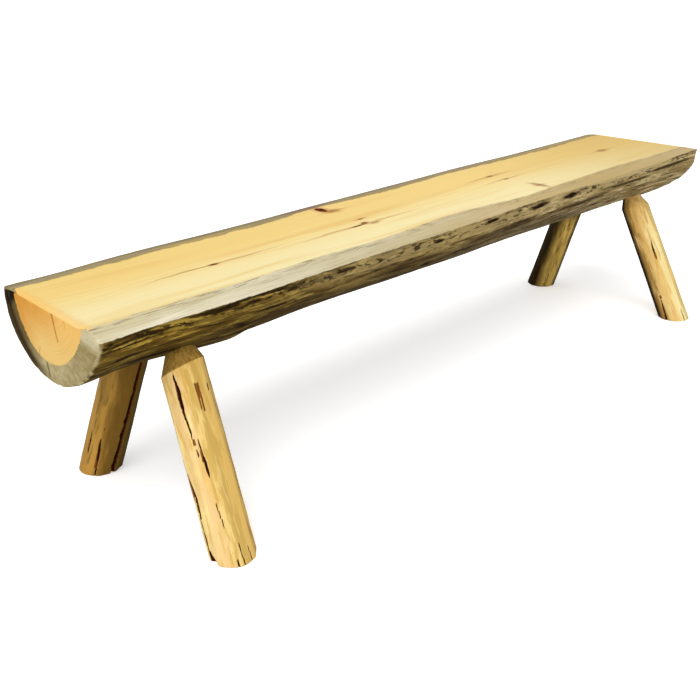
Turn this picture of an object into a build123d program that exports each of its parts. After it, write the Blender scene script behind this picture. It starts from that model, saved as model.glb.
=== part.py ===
from build123d import *
from collections import namedtuple
import math
import os

# A rustic half-log bench: a peeled log, sawn flat on top, on four splayed pole legs.
# Millimetres. X runs along the seat, Y across it (the front is -Y), Z is up.
# The origin lies on the floor, under the middle of the bench.

# ---- the seat ----
seat_length = 1829.0
seat_height = 457.0
flat_below_axis = 41.0        # how far the sawn flat lies under the middle of the round log

# The round log before it is sawn, at even steps from left to right: sideways sweep of the
# pith, sag of the pith, radius. The first and last rows lie one step past the seat's ends,
# in the wood that is sawn off. The fourth row is a knot swell.
log_stations = [
    (17.0, 0.0, 178.0),
    (17.0, 0.0, 178.0),
    (16.0, 0.0, 176.8),
    (15.0, 3.0, 180.0),
    (13.0, 0.0, 177.8),
    (12.0, 0.0, 178.0),
    (11.0, 0.0, 180.0),
    (11.0, 0.0, 180.5),
    (12.0, 0.0, 180.0),
    (12.0, 0.0, 181.5),
    (8.0, 0.0, 180.3),
    (4.0, 0.0, 180.0),
    (1.0, 0.0, 184.0),
    (0.0, 0.0, 184.5),
    (0.0, 0.0, 184.5),
]

# Drawknifed bevels along the two upper edges, each from the left end to the right end.
# They are set in from the bark at seat height and run down to meet the bark lower.
front_bevel_inset = (31.0, 44.0)
front_bevel_drop = (21.0, 8.0)
back_bevel_inset = (48.0, 42.0)
back_bevel_drop = (5.0, 4.0)

# The sawn ends, left then right, in degrees off square: a lean stands the underside out
# past the seat, and a slant stands the back out past the front.
end_lean = (7.2, 9.0)
end_slant = (-0.5, 2.4)
# A shallow bevel like a cone is worked round the bark of each end.
end_bevel_inset = (38.0, 36.0)
end_bevel_depth = (7.5, 4.0)
end_arris_radius = 6.0        # the eased edge between the flat and each sawn end

# ---- the legs ----
splay_angle = 22.47           # sideways, from upright
socket_spread = 87.9          # from the bench's middle line to a leg's axis...
socket_drop = 127.0           # ...measured this far under the seat
leg_taper = 4.0               # a leg is this much thinner at its shoulder than at the floor
shoulder_rise = 33.0          # length of cone that shows below the bark, along the axis
shoulder_angle = 24.5         # of the cone, from the leg's axis
foot_chamfer = 1.5

# end is -1 at the left and +1 at the right, side is -1 at the front and +1 at the back,
# from_end is the distance of the socket from the seat's end, rake is the lengthwise lean
# in degrees, and diameter is at the floor. Poles and sockets were picked and bored by eye,
# so each one differs a little.
Leg = namedtuple("Leg", "name end side from_end rake diameter")
legs = [
    Leg("front_left", -1, -1, 183.0, 3.6, 87.5),
    Leg("back_left", -1, +1, 186.5, 7.6, 87.5),
    Leg("front_right", +1, -1, 166.0, 8.6, 77.0),
    Leg("back_right", +1, +1, 177.5, 7.8, 81.5),
]

# ---- the round tenons and their blind mortises ----
tenon_diameter = 50.0
tenon_clearance = 0.25        # all round, filled by the glue
tenon_chamfer = 3.0
mortise_end_gap = 2.0         # room for glue past the end of the tenon
wood_over_mortise = 20.0      # left between the mortise and the seat, along the leg's axis

# ---- one structural screw locks each tenon, driven from the underside of the log ----
screw_length = 120.0
screw_diameter = 6.4
screw_point = 8.0
screw_head_diameter = 15.0
screw_head_height = 4.0
screw_washer = 1.5            # the full-width rim of the head
screw_clearance = 0.1
screw_entry = 18.0            # from the bench's middle line to where the screw goes in
screw_crossing = 50.0         # from the bark, along the leg, to where it meets the axis
counterbore_diameter = 18.0
counterbore_depth = 14.0      # from the bark to the seat of the head, along the screw

# ---- worked out from the sizes above ----
half_length = seat_length / 2
axis_height = seat_height + flat_below_axis
station_step = seat_length / (len(log_stations) - 3)
cone_slope = math.tan(math.radians(shoulder_angle))
overrun = 20.0                # how far a cutting shape runs past what it cuts
bevel_reach = 60.0            # how far a bevel's cutting shape runs out past the log


def between(ends, share):
    """A value part of the way from the first end to the second."""
    return ends[0] + (ends[1] - ends[0]) * share


def station_x(number):
    """Where a station of the log lies along the bench."""
    return (number - 1) * station_step - half_length


def trunk_at(x):
    """The log's sweep, sag and radius at x, between the two nearest stations."""
    number = (x + half_length) / station_step + 1
    left = int(number)
    return [between(pair, number - left) for pair in zip(log_stations[left], log_stations[left + 1])]


def bark_width(radius, below_seat):
    """From the pith out to the bark, level, at a depth below the seat."""
    return math.sqrt(radius**2 - (flat_below_axis + below_seat) ** 2)


def across(x, sweep, height):
    """An upright plane across the log: its own X is the bench's Y, its own Y is Z."""
    return Plane(origin=(x, sweep, height), x_dir=(0, 1, 0), z_dir=(1, 0, 0))


def through(axis, outwards):
    """A plane that holds an axis: its own Y runs along the axis, its own X outwards."""
    return Plane(origin=axis.position, x_dir=outwards, z_dir=outwards.cross(axis.direction))


def edge_bevel(side, insets, drops):
    """One cutting triangle at each station for the bevel along one upper edge."""
    sections = []
    for number, (sweep, sag, radius) in enumerate(log_stations):
        x = station_x(number)
        share = x / seat_length + 0.5
        flat_edge = bark_width(radius, 0) - between(insets, share)
        bark_edge = bark_width(radius, between(drops, share))
        slope = between(drops, share) / (bark_edge - flat_edge)
        with BuildSketch(across(x, sweep, seat_height)) as section:
            with BuildLine():
                Polyline(
                    (side * (flat_edge - overrun), overrun * slope),
                    (side * (flat_edge + bevel_reach), -bevel_reach * slope),
                    (side * (flat_edge + bevel_reach), overrun),
                    close=True,
                )
            make_face()
        sections.append(section.sketch.face())
    return sections


def leg_axis(leg):
    """The middle line of a leg, upwards from the floor."""
    rise = seat_height - socket_drop
    lean_x = -leg.end * math.tan(math.radians(leg.rake))
    lean_y = -leg.side * math.tan(math.radians(splay_angle))
    socket_x = leg.end * (half_length - leg.from_end)
    socket_y = leg.side * socket_spread
    foot = Vector(socket_x - lean_x * rise, socket_y - lean_y * rise, 0)
    return Axis(foot, Vector(lean_x, lean_y, 1))


def leg_plane(axis):
    """The plane of a leg's profile, which faces across the bench."""
    return through(axis, Vector(0, 1, 0).cross(axis.direction).normalized())


def bark_along(axis):
    """How far up its axis a leg meets the bark of the log."""
    up = axis.direction
    socket = axis.position + up * ((seat_height - socket_drop) / up.Z)
    sweep, sag, radius = trunk_at(socket.X)
    from_pith_y = axis.position.Y - sweep
    from_pith_z = axis.position.Z - (axis_height - sag)
    a = up.Y**2 + up.Z**2
    b = from_pith_y * up.Y + from_pith_z * up.Z
    c = from_pith_y**2 + from_pith_z**2 - radius**2
    return (-b - math.sqrt(b**2 - a * c)) / a


def mortise_end(axis):
    """How far up the leg's axis its mortise ends."""
    return seat_height / axis.direction.Z - wood_over_mortise


def shoulder(leg):
    """The shoulder's place along the axis, and the radius where it starts."""
    return bark_along(leg_axis(leg)) - shoulder_rise, (leg.diameter - leg_taper) / 2


def screw_axis(leg):
    """The middle line of the screw that locks a leg, inwards from the bark."""
    axis = leg_axis(leg)
    crossing = axis.position + axis.direction * (bark_along(axis) + screw_crossing)
    sweep, sag, radius = trunk_at(crossing.X)
    entry_y = leg.side * screw_entry
    entry_z = axis_height - sag - math.sqrt(radius**2 - (entry_y - sweep) ** 2)
    entry = Vector(crossing.X, entry_y, entry_z)
    return Axis(entry, crossing - entry)


def screw_hole(axis):
    """Half the outline of a screw's hole: a counterbore for the head, then the shank."""
    bore = screw_diameter / 2 + screw_clearance
    hole_end = counterbore_depth + screw_length
    with BuildSketch(through(axis, Vector(1, 0, 0))) as outline:
        with BuildLine():
            Polyline(
                (0, -overrun),
                (counterbore_diameter / 2, -overrun),
                (counterbore_diameter / 2, counterbore_depth),
                (bore, counterbore_depth),
                (bore, hole_end),
                (0, hole_end),
                close=True,
            )
        make_face()
    return outline.sketch.face()


def end_plane(end):
    """The plane of a sawn end, about the pith, facing outwards."""
    pick = 0 if end < 0 else 1
    lean = math.tan(math.radians(end_lean[pick]))
    slant = math.tan(math.radians(end_slant[pick]))
    sweep, sag, radius = trunk_at(end * half_length)
    reach = half_length + slant * sweep - lean * (flat_below_axis - sag)
    return Plane(origin=(end * reach, sweep, axis_height - sag), z_dir=(end, -slant, lean))


def end_bevel(end):
    """Half the outline of the ring that is cut off round one end, and the axis it turns about."""
    pick = 0 if end < 0 else 1
    slope = end_bevel_depth[pick] / end_bevel_inset[pick]
    sweep, sag, radius = trunk_at(end * half_length)
    inner = radius - end_bevel_inset[pick]
    outer = radius + overrun
    sawn = end_plane(end)
    axis = Axis(sawn.origin, -sawn.z_dir)
    with BuildSketch(through(axis, Vector(0, 0, 1).cross(axis.direction).normalized())) as outline:
        with BuildLine():
            Polyline(
                (inner - overrun, -overrun * slope),
                (outer, (outer - inner) * slope),
                (outer, -overrun),
                (inner - overrun, -overrun),
                close=True,
            )
        make_face()
    return outline.sketch.face(), axis


os.makedirs("parts", exist_ok=True)

# The seat. The log is built round, then worked the way its maker works it: the flat is
# sawn, the ends are sawn and bevelled, the long edges are drawknifed, the sockets are bored.
with BuildPart() as seat_log:
    for number, (sweep, sag, radius) in enumerate(log_stations):
        with BuildSketch(across(station_x(number), sweep, axis_height - sag)):
            Circle(radius)
    loft()

    split(bisect_by=Plane.XY.offset(seat_height), keep=Keep.BOTTOM)
    for end in (-1, +1):
        split(bisect_by=end_plane(end), keep=Keep.BOTTOM)
    seat_face = seat_log.faces().sort_by(Axis.Z)[-1]
    end_edges = seat_face.edges().sort_by(Axis.X)
    fillet([end_edges[0], end_edges[-1]], end_arris_radius)

    for end in (-1, +1):
        ring, ring_axis = end_bevel(end)
        revolve(ring, axis=ring_axis, mode=Mode.SUBTRACT)
    loft(edge_bevel(-1, front_bevel_inset, front_bevel_drop), mode=Mode.SUBTRACT)
    loft(edge_bevel(+1, back_bevel_inset, back_bevel_drop), mode=Mode.SUBTRACT)

    for leg in legs:
        axis = leg_axis(leg)
        cone_base, cone_radius = shoulder(leg)
        bore = tenon_diameter / 2 + tenon_clearance
        with BuildSketch(leg_plane(axis)):
            with BuildLine():
                Polyline(
                    (0, cone_base - overrun),
                    (cone_radius + overrun * cone_slope, cone_base - overrun),
                    (bore, cone_base + (cone_radius - bore) / cone_slope),
                    (bore, mortise_end(axis)),
                    (0, mortise_end(axis)),
                    close=True,
                )
            make_face()
        revolve(axis=axis, mode=Mode.SUBTRACT)
        revolve(screw_hole(screw_axis(leg)), axis=screw_axis(leg), mode=Mode.SUBTRACT)

seat_log.part.label = "seat_log"
export_step(seat_log.part, "parts/seat_log.step")

# The legs. A tapered pole, a cone-shaped shoulder and a round tenon are turned about one
# axis. The foot is then cut level at the floor and the tenon is drilled for its screw.
for leg in legs:
    axis = leg_axis(leg)
    cone_base, cone_radius = shoulder(leg)
    tenon_radius = tenon_diameter / 2
    tenon_end = mortise_end(axis) - mortise_end_gap
    with BuildPart() as pole_leg:
        with BuildSketch(leg_plane(axis)):
            with BuildLine():
                Polyline(
                    (0, -leg.diameter),
                    (leg.diameter / 2, -leg.diameter),
                    (leg.diameter / 2, 0),
                    (cone_radius, cone_base),
                    (tenon_radius, cone_base + (cone_radius - tenon_radius) / cone_slope),
                    (tenon_radius, tenon_end - tenon_chamfer),
                    (tenon_radius - tenon_chamfer, tenon_end),
                    (0, tenon_end),
                    close=True,
                )
            make_face()
        revolve(axis=axis)
        split(bisect_by=Plane.XY, keep=Keep.TOP)
        foot_face = pole_leg.faces().sort_by(Axis.Z)[0]
        chamfer(foot_face.edges(), foot_chamfer)
        revolve(screw_hole(screw_axis(leg)), axis=screw_axis(leg), mode=Mode.SUBTRACT)
    pole_leg.part.label = "leg_" + leg.name
    export_step(pole_leg.part, "parts/leg_" + leg.name + ".step")

# The screws. A pointed shank under a washer head that seats in its counterbore.
for leg in legs:
    axis = screw_axis(leg)
    shank_radius = screw_diameter / 2
    head_radius = screw_head_diameter / 2
    head_top = counterbore_depth - screw_head_height
    tip = counterbore_depth + screw_length
    with BuildPart() as tenon_screw:
        with BuildSketch(through(axis, Vector(1, 0, 0))):
            with BuildLine():
                Polyline(
                    (0, tip),
                    (shank_radius, tip - screw_point),
                    (shank_radius, counterbore_depth),
                    (head_radius, counterbore_depth),
                    (head_radius, counterbore_depth - screw_washer),
                    (head_radius - screw_head_height + screw_washer, head_top),
                    (0, head_top),
                    close=True,
                )
            make_face()
        revolve(axis=axis)
    tenon_screw.part.label = "tenon_screw_" + leg.name
    export_step(tenon_screw.part, "parts/tenon_screw_" + leg.name + ".step")
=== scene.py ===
import itertools
import math
from collections import namedtuple

import bmesh
import bpy
import numpy as np
from mathutils import Matrix, Vector
from mathutils.bvhtree import BVHTree
from mathutils.kdtree import KDTree


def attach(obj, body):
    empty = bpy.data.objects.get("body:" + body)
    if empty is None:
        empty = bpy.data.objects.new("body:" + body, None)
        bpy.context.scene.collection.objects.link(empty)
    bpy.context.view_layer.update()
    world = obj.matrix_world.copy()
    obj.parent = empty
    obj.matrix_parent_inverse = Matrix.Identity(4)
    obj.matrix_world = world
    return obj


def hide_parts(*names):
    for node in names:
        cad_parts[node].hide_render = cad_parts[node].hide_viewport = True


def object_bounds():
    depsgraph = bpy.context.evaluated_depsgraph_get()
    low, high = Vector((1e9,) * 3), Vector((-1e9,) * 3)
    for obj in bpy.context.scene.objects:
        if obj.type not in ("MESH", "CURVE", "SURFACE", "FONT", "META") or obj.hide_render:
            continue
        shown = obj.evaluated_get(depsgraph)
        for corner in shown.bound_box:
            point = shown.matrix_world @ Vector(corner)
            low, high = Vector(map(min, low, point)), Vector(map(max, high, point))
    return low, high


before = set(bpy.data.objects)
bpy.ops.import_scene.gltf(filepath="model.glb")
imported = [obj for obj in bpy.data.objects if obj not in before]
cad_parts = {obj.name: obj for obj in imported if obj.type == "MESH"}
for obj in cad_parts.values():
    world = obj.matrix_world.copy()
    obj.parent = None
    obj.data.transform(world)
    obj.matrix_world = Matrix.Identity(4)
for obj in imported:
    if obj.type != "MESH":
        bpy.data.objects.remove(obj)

# The looks of a rustic half-log bench, in metres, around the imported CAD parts.
# X runs along the seat, the front is -Y, and the left end, which is nearer, is -X.
cad_low, cad_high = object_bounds()
seat_height = cad_high.z

# ---- the camera, as it was fitted to the picture ----
picture_width = 700
focal_pixels = 891.21
camera_place = Vector((-1.47085, -1.35401, 0.98007))
camera_yaw = 42.04            # degrees from +Y towards +X
camera_pitch = 24.01          # downwards
camera_roll = -1.91

# ---- the seat log ----
half_length = 0.9145
front_inset = (0.031, 0.044)  # the long bevels, each from the left end to the right end
front_drop = (0.021, 0.008)
back_inset = (0.048, 0.042)
back_drop = (0.005, 0.004)
end_lean = (math.tan(math.radians(7.2)), math.tan(math.radians(9.0)))
end_slant = (math.tan(math.radians(-0.5)), math.tan(math.radians(2.4)))
ring_inset = (0.038, 0.036)   # the bevel round each sawn end
ring_depth = (0.0075, 0.004)
ring_skew = (0.006, -0.001)   # how much deeper it is at the front than half way round
arris_radius = 0.006          # between the seat and the sawn ends
bark_arris_radius = 0.004
front_rise = 0.0075           # how much the front bevel's outer edge rises at the right end
front_rise_from, front_rise_to = 0.6, 0.9   # and the places along it between which it does
# Where the front bevel's inner edge bends: how far inwards, where, and its reach.
front_edge_bends = ((-0.014, 0.2, 0.13), (0.012, -0.05, 0.16))
Swell = namedtuple("Swell", "x left_reach right_reach angle angle_reach height")
knot_swell = Swell(-0.612, 0.11, 0.022, -112, 24, 0.006)  # a grown-over knot low on the front
swell_length = 0.06           # how far in from the ends the butts are wider
# How much wider the butts are, by the angle round the pith: 0 at the back, -180 at the front.
butt_angles = (-165, -155, -140, -115, -90, -72, -60, -50, -40, -30, -20, -14)
left_butt = (0, 0.0007, 0.002, 0.0035, 0.0045, 0.0065, 0.009, 0.013, 0.016, 0.017, 0.014, 0.009)
right_butt = (0.002, 0.007, 0.003, -0.004, -0.002, 0, 0, 0, 0, 0, 0, 0)
cap_centre_height = seat_height - 0.05  # where the mesh of a sawn end fans out from

# How finely the log is meshed, and the regions round its sections.
rows_along = 320
rows_near_ends = (0.0006, 0.0014, 0.0024, 0.0036)
flat_points = 52
bevel_points = 9
bark_points = 122
ring_rows = 9
face_rows = 28
tip_reach = 0.1               # how far in from the sawn ends the material is told of them
FLAT, BACK_BEVEL, BARK, FRONT_BEVEL = range(4)

# ---- the legs ----
leg_names = ("front_left", "back_left", "front_right", "back_right")
tenon_radius = 0.025
foot_chamfer = 0.0015
tenon_chamfer = 0.003
shoulder_arris = 0.0008       # how far below the cone the pole stops
foot_rows = 14                # from the middle of a leg's foot to its edge
pole_rows = 150
cone_rows = 16
tenon_rows = 8
pole_columns = 180
POLE, HEWN, TENON = range(3)

# ---- the screws and their holes ----
head_radius = 0.0075
shank_radius = 0.0032
screw_head_height = 0.004
screw_reach = 0.124           # from the top of the head to the tip
screw_point = 0.008
recess_depth = 0.0024
thread_start = 0.055
thread_pitch = 0.0032
counterbore_radius = 0.009
socket_gap = 0.0002
tip_room = 0.001
cone_run_out = 0.02           # how far below its shoulder a mortise's cutter starts
screw_columns = 48
hole_columns = 90

# ---- the wood ----
back_knot_x = -0.215          # the large knot beside the back bevel
trail_half_width = 0.0065     # of the brown streaks beside the knots
log_ring_gap = 0.0065         # from one growth ring to the next
pole_ring_gap = 0.0034
log_turn_length = 0.18        # the bark's length for each radian round the log
pole_turn_length = 0.042
wood_shine = 0.06

# How the hewn cones were cut a little askew: how much their place along the pole swings, the
# angle round the pole where it is furthest up, and a lift all round.
shoulder_tilts = {
    "front_left": (0.0105, -60.0, 0.007),
    "back_left": (0.004, 120.0, 0.0),
    "front_right": (0.006, 165.0, 0.0075),
    "back_right": (0.003, 200.0, 0.0),
}

# Drying checks in the poles: how far up the pole each end is, the angle round the pole in
# degrees, the greatest width, and the depth.
Check = namedtuple("Check", "low low_angle high high_angle width depth")
leg_checks = {
    "front_left": [
        Check(0.258, -147, 0.368, -150, 0.003, 0.007), Check(0.222, -143, 0.276, -147.5, 0.0012, 0.004),
        Check(0.15, -126, 0.197, -128, 0.0026, 0.004), Check(0.195, -128, 0.226, -131, 0.001, 0.002),
        Check(0.188, -139, 0.204, -140, 0.0011, 0.002), Check(0.078, -185, 0.165, -197, 0.0045, 0.005),
        Check(-0.02, -185, 0.085, -188, 0.0022, 0.003), Check(0.052, -123, 0.112, -129, 0.0008, 0.001),
        Check(-0.03, -174, 0.022, -182, 0.006, 0.005), Check(-0.03, -112, 0.008, -113, 0.0012, 0.003),
        Check(-0.03, -96, 0.035, -101, 0.001, 0.003), Check(-0.03, -72, 0.024, -77, 0.001, 0.003),
        Check(0.297, -64, 0.313, -65, 0.002, 0.003), Check(0.16, -52, 0.215, -50, 0.0012, 0.002),
    ],
    "back_left": [
        Check(-0.1, -91, 0.46, -74, 0.005, 0.009), Check(0.055, -175, 0.12, -178, 0.0024, 0.004),
        Check(0.045, -138, 0.118, -144, 0.0028, 0.005), Check(-0.05, -134, 0.06, -138, 0.0014, 0.004),
    ],
    "front_right": [
        Check(0.195, -132, 0.245, -128, 0.0016, 0.003), Check(-0.02, -179, 0.078, -170, 0.0024, 0.004),
        Check(-0.02, -101, 0.024, -102, 0.0018, 0.004),
    ],
    "back_right": [Check(0.02, 170, 0.12, 166, 0.0016, 0.003)],
}
# Strips of brown inner bark left on the poles: middle, angle, half length, half width.
Strip = namedtuple("Strip", "along angle half_length half_width")
leg_strips = {
    "front_left": [
        Strip(0.304, -98, 0.013, 0.0046), Strip(0.282, -101, 0.014, 0.0016),
        Strip(0.28, -94, 0.016, 0.002), Strip(0.217, -141, 0.006, 0.0026),
        Strip(0.19, -130, 0.011, 0.0026),
    ],
    "back_left": [Strip(0.142, -139, 0.004, 0.0018), Strip(0.06, -140, 0.03, 0.0035)],
    "front_right": [Strip(0.077, -168, 0.005, 0.0034), Strip(0.2, -131, 0.015, 0.003)],
    "back_right": [Strip(0.26, -128, 0.006, 0.002)],
}
# Drawknife facets: angle in degrees, and depth as a share of the pole's radius. The second
# list is for the sides that the picture doesn't show.
leg_facets = {
    "front_left": [(-134, 0.05), (-84, 0.055), (-176, 0.035), (-42, 0.04)],
    "back_left": [(-150, 0.022), (-104, 0.03), (-60, 0.025), (168, 0.02)],
    "front_right": [(-165, 0.03), (-128, 0.026), (-85, 0.03), (-45, 0.022)],
    "back_right": [(-172, 0.024), (-135, 0.03), (-95, 0.026), (150, 0.024)],
}
hidden_facets = [(0, 0.035), (38, 0.025), (82, 0.04), (118, 0.022)]
# The lighter and deeper tone of each leg, its stain's, which also paints its shade under the
# seat, and its hewn shoulder's two. The back legs' tones are darker, partly as painted shade.
leg_tones = {
    "front_left": ((255, 232, 156), (246, 206, 122), (222, 174, 92), (176, 140, 66), (142, 108, 44)),
    "back_left": ((200, 152, 68), (156, 116, 46), (122, 96, 42), (150, 112, 52), (116, 84, 34)),
    "front_right": ((253, 236, 172), (238, 200, 120), (206, 156, 76), (242, 208, 134), (204, 164, 92)),
    "back_right": ((244, 208, 112), (194, 158, 72), (92, 72, 28), (168, 136, 70), (124, 98, 44)),
}
# How much painted shadow each leg gets under the seat.
leg_under_seat_shade = {"front_left": 0.0, "back_left": 0.42, "front_right": 0.0, "back_right": 0.65}
# Darker sides of the poles: partly painted shade, on the sides away from the light and along
# the edges that the camera sees, and partly the wood's own patches of tone. Each is red, green
# and blue, middle angle and reach in degrees, strength and raggedness.
Shade = namedtuple("Shade", "tone angle reach strength ragged")
leg_shades = {
    "front_left": [
        Shade((226, 184, 98), -62, 76, 0.7, 0.9), Shade((210, 172, 88), -100, 20, 0.7, 0.7),
        Shade((240, 196, 138), -150, 44, 0.6, 1.8), Shade((150, 110, 54), 147, 17, 0.85, 0.4),
        Shade((176, 136, 66), -37, 13, 0.8, 0.4),
    ],
    "back_left": [
        Shade((118, 88, 32), -80, 70, 0.9, 0.6), Shade((84, 70, 25), -26, 66, 0.9, 0.2),
        Shade((34, 28, 12), -28, 26, 0.9, 0.3),
    ],
    "front_right": [
        Shade((226, 178, 96), -170, 52, 0.7, 0.8), Shade((146, 108, 46), 162, 40, 0.8, 0.9),
        Shade((28, 18, 5), 136, 40, 0.97, 0.1), Shade((206, 182, 122), -63, 26, 0.7, 0.3),
    ],
    "back_right": [
        Shade((128, 98, 40), 190, 40, 0.55, 0.6), Shade((24, 15, 4), 146, 64, 0.97, 0.25),
        Shade((46, 34, 10), -58, 56, 0.9, 0.5),
    ],
}

# Knots and resin marks on the seat, from the pith's line: place, half length, half width,
# strength, and how far a brown streak trails both ways from it.
Knot = namedtuple("Knot", "x y half_length half_width strength trail", defaults=(0,))
seat_knots = (
    Knot(-0.206, 0.119, 0.012, 0.025, 1.0),
    Knot(-0.192, 0.092, 0.018, 0.014, 0.35, 0.06),
    Knot(-0.592, -0.022, 0.011, 0.005, 0.85, 0.21),
    Knot(-0.199, -0.002, 0.007, 0.004, 0.7, 0.03),
    Knot(-0.238, -0.036, 0.022, 0.0034, 0.85, 0.22),
    Knot(-0.214, -0.03, 0.01, 0.006, 0.75),
    Knot(-0.196, -0.044, 0.016, 0.006, 0.45),
    Knot(0.285, 0.036, 0.012, 0.006, 0.6, 0.12),
    Knot(0.291, -0.011, 0.01, 0.005, 0.5, 0.1),
    Knot(0.292, -0.11, 0.01, 0.03, 0.45, 0.03),
    Knot(0.723, 0.006, 0.02, 0.012, 0.35, 0.09),
)

# Patches of black bark on the side: place along the seat and down from the bevel's edge.
Patch = namedtuple("Patch", "x under half_length half_width strength")
bark_patches = (
    Patch(0.335, 0.012, 0.026, 0.0065, 1.0),
    Patch(0.214, 0.012, 0.032, 0.006, 1.0),
    Patch(0.04, 0.01, 0.024, 0.004, 1.0),
    Patch(-0.128, 0.016, 0.012, 0.004, 1.0),
    Patch(-0.394, 0.011, 0.026, 0.005, 0.9),
    Patch(-0.521, 0.014, 0.014, 0.0045, 0.8),
    Patch(-0.613, 0.012, 0.016, 0.004, 0.9),
    Patch(-0.2, 0.062, 0.11, 0.012, 0.5),
    Patch(0.11, 0.06, 0.13, 0.009, 0.6),
    Patch(0.41, 0.052, 0.1, 0.0075, 0.7),
    Patch(0.61, 0.035, 0.08, 0.0035, 0.8),
    Patch(0.79, 0.024, 0.1, 0.0045, 0.8),
)
# Checks in the sawn ends, from the pith: start, end, half width and strength.
face_lines = (
    ((-0.018, -0.04), (-0.041, -0.09), 0.003, 0.75),
    ((-0.064, -0.041), (-0.07, -0.06), 0.0007, 0.35),
    ((0.03, -0.12), (0.036, -0.136), 0.0012, 0.5),
)
ring_split = ((0.005, -0.14), (0.008, -0.168), 0.0012)


# ======== noise and mesh helpers ========

def lattice(cell, seed):
    """A fixed random value from -1 to 1 for each whole-number cell."""
    x, y, z = np.moveaxis(cell, -1, 0)
    n = (x * 73856093) ^ (y * 19349663) ^ (z * 83492791) ^ (seed * 40503 + 977)
    n = ((n ^ (n >> 13)) * 1274126177) & 0xFFFFFFFF
    n = (n ^ (n >> 16)) & 0xFFFF
    return n / 32767.5 - 1


def noise(points, seed=0):
    """Smooth noise from -1 to 1 at each point, with features about one unit across."""
    cell = np.floor(points).astype(np.int64)
    part = points - cell
    ease = part * part * (3 - 2 * part)
    total = np.zeros(points.shape[:-1])
    for corner in itertools.product((0, 1), repeat=3):
        share = np.prod(np.where(corner, ease, 1 - ease), axis=-1)
        total += share * lattice(cell + np.array(corner), seed)
    return total


def layered(points, size, layers=3, seed=0):
    """Noise in several layers, each half the size of the last. size is (x, y, z) in metres."""
    total = 0
    for layer in range(layers):
        total = total + noise(points / np.array(size) * 2**layer, seed + 17 * layer) / 2**layer
    return total


def smooth_step(value, low, high):
    """0 below low, 1 above high and an eased rise between."""
    share = np.clip((value - low) / (high - low), 0, 1)
    return share * share * (3 - 2 * share)


def lerp(pair, share):
    """A value part of the way from the first of a pair to the second."""
    return pair[0] + (pair[1] - pair[0]) * share


def grid_faces(ids):
    """Four-sided faces round a grid of vertex numbers that closes on itself, less the corners
    that coincide."""
    following = np.roll(ids, -1, axis=1)
    quads = np.stack([ids[:-1], following[:-1], following[1:], ids[1:]], axis=-1)
    corners = (list(dict.fromkeys(quad)) for quad in quads.reshape(-1, 4).tolist())
    return [face for face in corners if len(face) > 2]


def fan_faces(ring, middle):
    """Three-sided faces from a closed ring of vertex numbers to one vertex in its middle."""
    return [[int(first), int(second), middle] for first, second in zip(ring, np.roll(ring, -1))]


def tube_faces(rows, columns):
    """The faces of a closed tube: its grid, and a fan to a middle vertex at both ends."""
    count = rows * columns
    ids = np.arange(count).reshape(rows, columns)
    return grid_faces(ids) + fan_faces(ids[0], count) + fan_faces(ids[-1], count + 1)


def full_turn(count):
    """Angles all the way round."""
    return np.linspace(0, 2 * np.pi, count, endpoint=False)


def unit(vector):
    return vector / np.linalg.norm(vector, axis=-1, keepdims=True)


def middle_of(points):
    return (points.max(axis=0) + points.min(axis=0)) / 2


def corners_of(mesh):
    return np.array([vertex.co for vertex in mesh.vertices])


def axes_along(up, aside):
    """Three axes at right angles. The last is up, and the first is square to aside as well."""
    level = unit(np.cross(aside, up))
    return np.array([level, np.cross(up, level), up])


def closed_mesh(name, points, faces, material):
    """A mesh of one material, with its faces turned outwards."""
    mesh = bpy.data.meshes.new(name)
    mesh.from_pydata(points.tolist(), [], faces)
    made = bmesh.new()
    made.from_mesh(mesh)
    bmesh.ops.recalc_face_normals(made, faces=made.faces)
    made.to_mesh(mesh)
    made.free()
    mesh.materials.append(material)
    return mesh


def add_object(name, data):
    """An object in the scene."""
    made = bpy.data.objects.new(name, data)
    bpy.context.scene.collection.objects.link(made)
    return made


def store(mesh, key, values, domain="POINT"):
    """Keeps a number or a place in the mesh for each point or face."""
    kind, field = ("FLOAT_VECTOR", "vector") if values.ndim == 2 else ("FLOAT", "value")
    layer = mesh.attributes.get(key) or mesh.attributes.new(key, kind, domain)
    layer.data.foreach_set(field, values.astype(np.float32).ravel())


def make_piece(name, points, faces, values, material):
    """A closed mesh with its named values for each point, riding on the bench."""
    mesh = closed_mesh(name, points, faces, material)
    for key, value in values.items():
        store(mesh, key, value)
    mesh.polygons.foreach_set("use_smooth", [True] * len(mesh.polygons))
    piece = add_object(name, mesh)
    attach(piece, "root")
    return piece


# ======== shader helpers ========

def give(socket, value):
    """Links a value to a node's input, or sets the input to a number, a colour or a place."""
    if isinstance(value, Value):
        socket.id_data.links.new(value.socket, socket)
    else:
        socket.default_value = value


def add_node(tree, kind, inputs, **settings):
    """A node with its settings, its inputs linked or set."""
    made = tree.nodes.new(kind)
    for key, value in settings.items():
        setattr(made, key, value)
    for key, value in inputs.items():
        give(made.inputs[key], value)
    return made


def result(kind, inputs, output=0, **settings):
    """What comes out of a new node. It joins the tree of the values that go into it."""
    tree = next(value.socket.id_data for value in inputs.values() if isinstance(value, Value))
    return Value(add_node(tree, kind, inputs, **settings).outputs[output])


def math_node(operation, *numbers):
    return result("ShaderNodeMath", dict(enumerate(numbers)), operation=operation)


def larger(first, second):
    return math_node("MAXIMUM", first, second)


def distance(across, up):
    return math_node("SQRT", across**2 + up**2)


def joined(x, y):
    """A flat place from two numbers."""
    return result("ShaderNodeCombineXYZ", {"X": x, "Y": y})


def relief(height, depth):
    """A surface's direction with small relief in it, depth metres for each unit of height."""
    return result("ShaderNodeBump", {"Height": height, "Distance": depth, "Strength": 1.0})


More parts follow.
